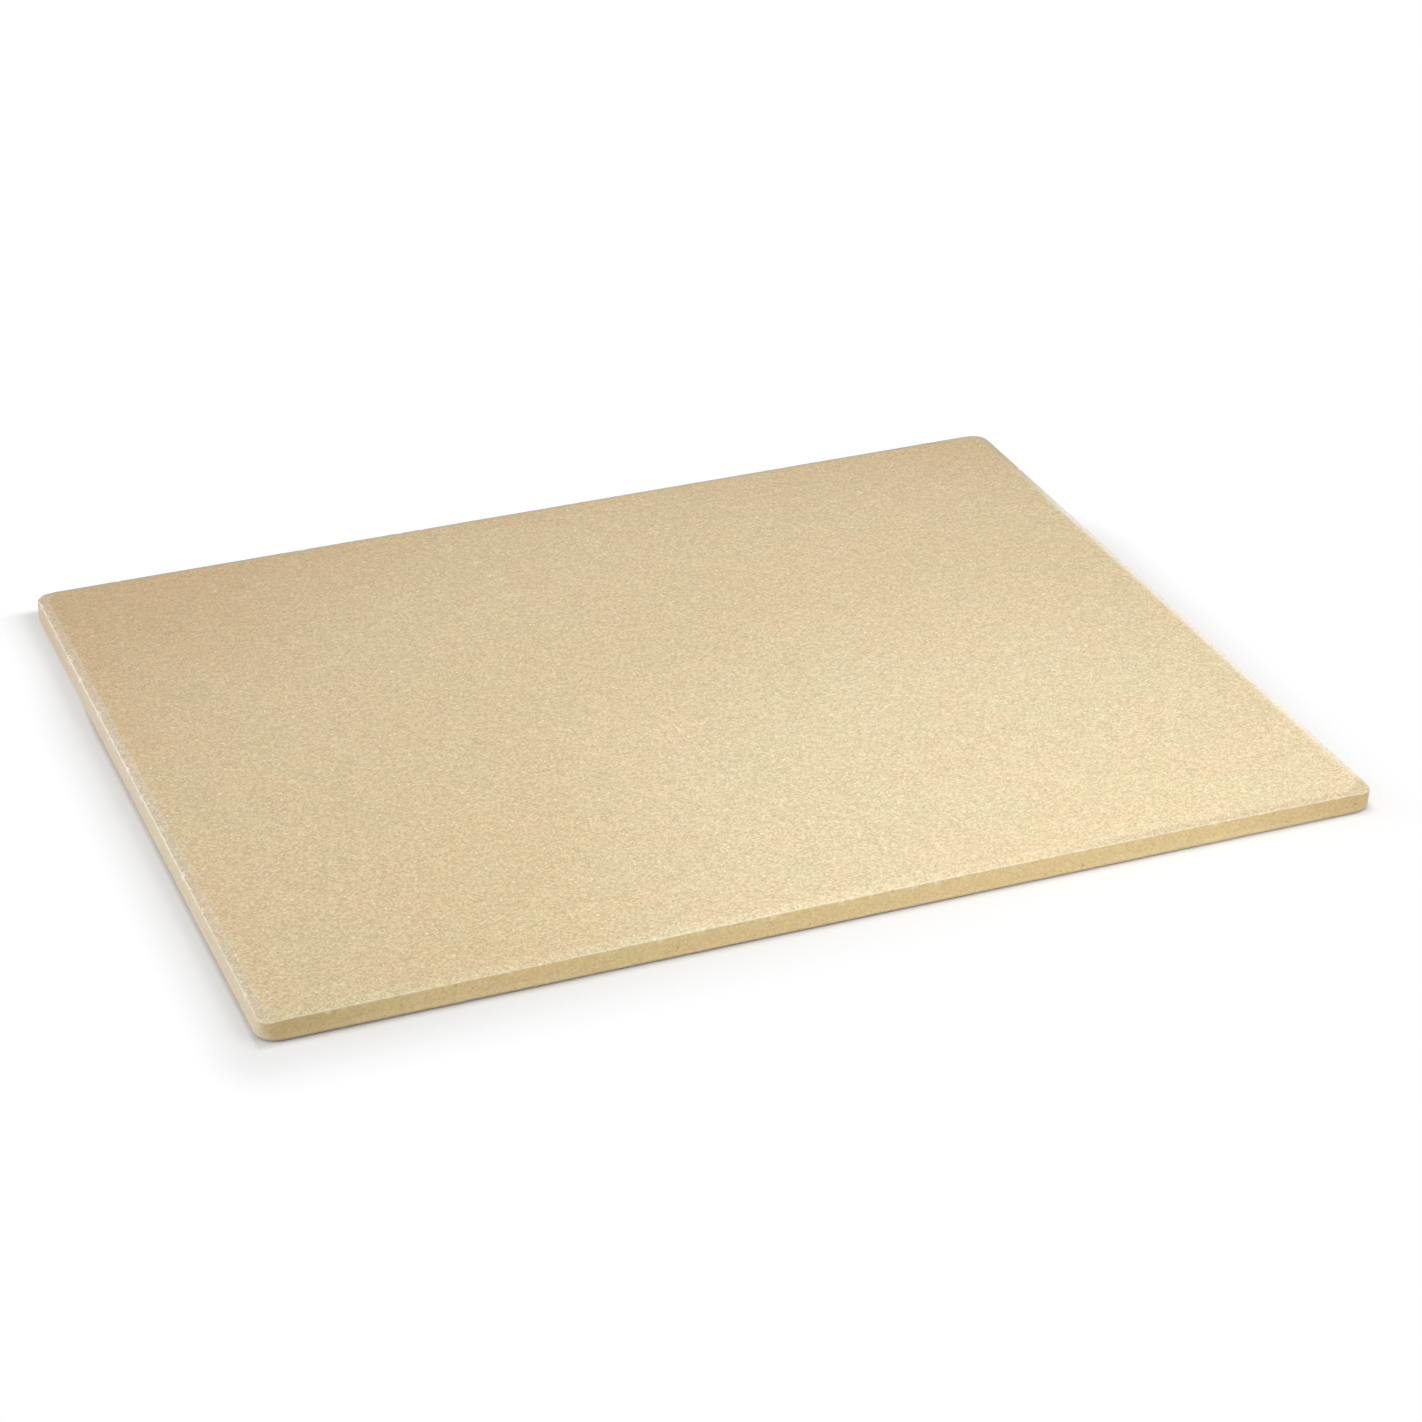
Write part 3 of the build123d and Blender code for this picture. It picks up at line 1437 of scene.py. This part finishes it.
@dataclass(frozen=True)
class Studio:
    """A plain pale floor and soft white light.

    The floor's shadow fades with the distance from the stone, in two steps. The
    weights make a side's distance count for more, where the shadow is narrow.
    """

    white: Colour = (1.0, 1.0, 1.0)
    dome_strength: float = 0.58
    floor_side: float = 12.0
    floor_colour: Colour = (0.80, 0.80, 0.80)
    stone_half: Span = (0.215, 0.175)
    contact: Fade = Fade(0.0, 0.002, 0.0, 0.35)
    shadow: Fade = Fade(0.004, 0.024, 0.0, 0.65)
    left_and_front: tuple[float, float, float] = (1.0, 0.7, 0.0)
    right_and_back: tuple[float, float, float] = (1.0, 3.0, 0.0)
    beside_ends: Fade = Fade(0.1, 0.21)
    beside_back: Fade = Fade(0.06, 0.14)
    clear_corners: Fade = Fade(-0.2, 0.2, 0.005, 0.02)
    lamps: tuple[AreaLamp, ...] = (
        AreaLamp(Lamp.FRONT, 20, 35, 0.55, 0.35, 0.9),
        AreaLamp(Lamp.TOP, 70, 70, 0.55, 0.35, 1.05),
        AreaLamp(Lamp.FILL, 270, 8, 0.9, 0.24, 2.7),
    )

    def build(self) -> None:
        """Lights the scene and lays its floor."""
        self.light_dome()
        self.lay_floor()
        for lamp in self.lamps:
            lamp.hang()

    def seen_rays(self, wire: Wiring) -> Socket:
        """Gives 1 for rays from the camera, a mirror or clear glass, else 0."""
        path = wire.node("LightPath").outputs
        return reduce(
            lambda seen, kind: wire.math("MAXIMUM", seen, path[f"Is {kind} Ray"]),
            ("Glossy", "Transmission"),
            path["Is Camera Ray"],
        )

    def light_dome(self) -> None:
        """Lights the scene evenly from all round, and shows white behind it."""
        world = bpy.data.worlds.new("studio_dome")
        world.use_nodes = True
        world.node_tree.nodes.clear()
        wire = Wiring(world.node_tree)
        light, shown = (
            wire.feed(wire.node("Background"), self.white, strength).outputs[0]
            for strength in (self.dome_strength, 1.0)
        )
        mix = wire.feed(wire.node("MixShader"), self.seen_rays(wire), light, shown)
        wire.feed(wire.node("OutputWorld"), Surface=mix.outputs[0])
        bpy.context.scene.world = world

    def off_stone(self, wire: Wiring) -> Socket:
        """Measures how far a place on the floor lies from the stone.

        Args:
            wire: The wiring of the floor's material.

        Returns:
            The distance, which is larger where the shadow is narrow or missing.
        """
        place = wire.node("TexCoord").outputs["Object"]
        half_x, half_y = self.stone_half
        reaches = []
        for sign, weights in ((-1.0, self.left_and_front), (1.0, self.right_and_back)):
            past = wire.vector("MULTIPLY_ADD", place, (sign, sign, 0.0), (-half_x, -half_y, 0.0))
            past = wire.vector("MAXIMUM", past, (0.0, 0.0, 0.0))
            reaches.append(wire.vector("MULTIPLY", past, weights))
        far = wire.vector("LENGTH", wire.vector("ADD", *reaches))
        x, y, _ = wire.parts(place)
        clear = wire.product(
            wire.fade(wire.math("ABSOLUTE", x), self.beside_ends),
            wire.fade(y, self.beside_back),
            wire.fade(x, self.clear_corners),
        )
        return wire.math("ADD", far, clear)

    def lay_floor(self) -> None:
        """Lays the floor, white beyond the stone's soft shadow."""
        bpy.ops.object.select_all(action="DESELECT")
        bpy.ops.mesh.primitive_plane_add(size=self.floor_side, location=(0, 0, 0))
        floor = bpy.context.object
        floor.name = "studio_floor"
        material = bpy.data.materials.new("studio_floor")
        material.use_nodes = True
        material.node_tree.nodes.clear()
        wire = Wiring(material.node_tree)
        paint = wire.feed(wire.node("BsdfDiffuse"), self.floor_colour).outputs[0]
        glow = wire.feed(wire.node("Emission"), self.white).outputs[0]
        far = self.off_stone(wire)
        away = wire.math("ADD", wire.fade(far, self.contact), wire.fade(far, self.shadow))
        away = wire.product(away, self.seen_rays(wire))
        mix = wire.feed(wire.node("MixShader"), away, paint, glow)
        wire.feed(wire.node("OutputMaterial"), Surface=mix.outputs[0])
        floor.data.materials.append(material)


def dress_slab() -> Piece:
    """Models the fine slab, gives it its finish and puts it in the solid's place.

    Returns:
        The finished piece.
    """
    low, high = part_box("baking_stone")
    stone = BakingStone(low, high)
    piece = stone.build()
    Handling(stone).apply()
    piece.data.materials.append(FiredCeramic(CeramicEffects()).material())
    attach(piece, "root")
    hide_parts("baking_stone")
    return piece


def main() -> None:
    """Builds the view, the studio and the stone, in that order."""
    logging.basicConfig(level=logging.INFO, format="%(name)s: %(message)s")
    bpy.context.scene.view_settings.view_transform = "Standard"
    PhotoCamera().build()
    Studio().build()
    piece = dress_slab()
    piece.data.calc_loop_triangles()
    log.info("%s: %d triangles", piece.name, len(piece.data.loop_triangles))


if __name__ == "__main__":
    main()
